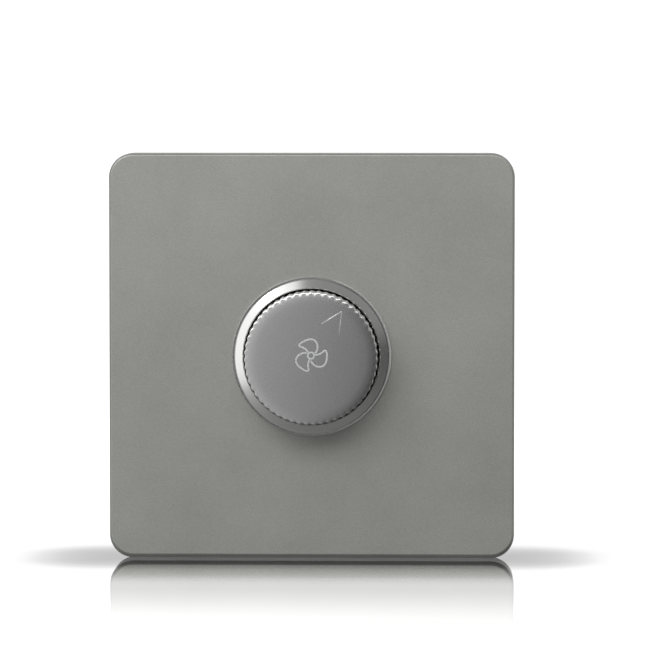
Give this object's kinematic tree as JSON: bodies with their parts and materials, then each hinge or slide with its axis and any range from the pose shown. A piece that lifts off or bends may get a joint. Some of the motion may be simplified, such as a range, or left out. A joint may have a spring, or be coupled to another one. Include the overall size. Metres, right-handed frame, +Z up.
{
  "type": "rotary dimmer switch",
  "caption": "Square wall plate with a fluted rotary knob in a bright bezel; the knob turns a speed dimmer housed behind a screwed mounting frame.",
  "frame": {"origin": "centre of the wall plane, midway between the two fixing slots, on the knob axis", "axes": "+Z up the wall, -Y out into the room towards the user, +Y into the wall box, +X to the user's right"},
  "size_m": [0.086, 0.047, 0.086],
  "materials": {
    "plate": "fine metallic grey paint, matt",
    "bezel": "bright plated, turned",
    "knob": "satin plated",
    "knob_inner": "moulded",
    "spring_steel": "bright",
    "shaft": "turned",
    "brass": "plain",
    "plated_steel": "zinc plated",
    "phenolic": "phenolic sheet",
    "rotor": "moulded",
    "switch_black": "moulded",
    "frame": "moulded, pale grey",
    "housing": "moulded, dark grey",
    "board": "printed board",
    "film_capacitor": "potted box",
    "timing_capacitor": "dipped",
    "resistor": "lacquered",
    "diac": "lacquered",
    "fuse": "ceramic",
    "ferrite": "ferrite",
    "copper": "enamelled wire",
    "heat_sink": "sheet",
    "triac": "moulded package",
    "terminal_block": "moulded"
  },
  "bodies": {
    "root": {"face_plate": "plate", "trim_ring": "bezel", "pot_bushing": "brass", "pot_washer": "plated_steel", "pot_nut": "plated_steel", "pot_case": "plated_steel", "pot_wafer": "phenolic", "pot_leads": "plated_steel", "switch_case": "switch_black", "switch_blades": "brass", "mounting_frame": "frame", "rear_housing": "housing", "housing_screws": "plated_steel", "control_board": "board", "film_capacitor": "film_capacitor", "timing_capacitor": "timing_capacitor", "resistors": "resistor", "diac": "diac", "fuse": "fuse", "choke_core": "ferrite", "choke_winding": "copper", "heat_sink": "heat_sink", "triac": "triac", "triac_screw": "plated_steel", "triac_nut": "plated_steel", "terminal_block": "terminal_block", "terminal_clamps": "brass", "terminal_screws": "plated_steel"},
    "knob": {"knob_cap": "knob", "knob_core": "knob_inner", "knob_spring": "spring_steel", "pot_shaft": "shaft", "shaft_clip": "spring_steel", "pot_rotor": "rotor", "pot_wiper": "spring_steel"},
    "lever": {"switch_lever": "rotor"}
  },
  "joints": [
    {"name": "knob_turn", "type": "hinge", "parent": "root", "child": "knob", "pos_m": [0, 0, 0], "axis": [0, 1, 0], "range_deg": [-183, 117]},
    {"name": "switch_flip", "type": "hinge", "parent": "root", "child": "lever", "pos_m": [0, 0.0101, -0.0054], "axis": [0, 1, 0], "range_deg": [0, 40]}
  ]
}
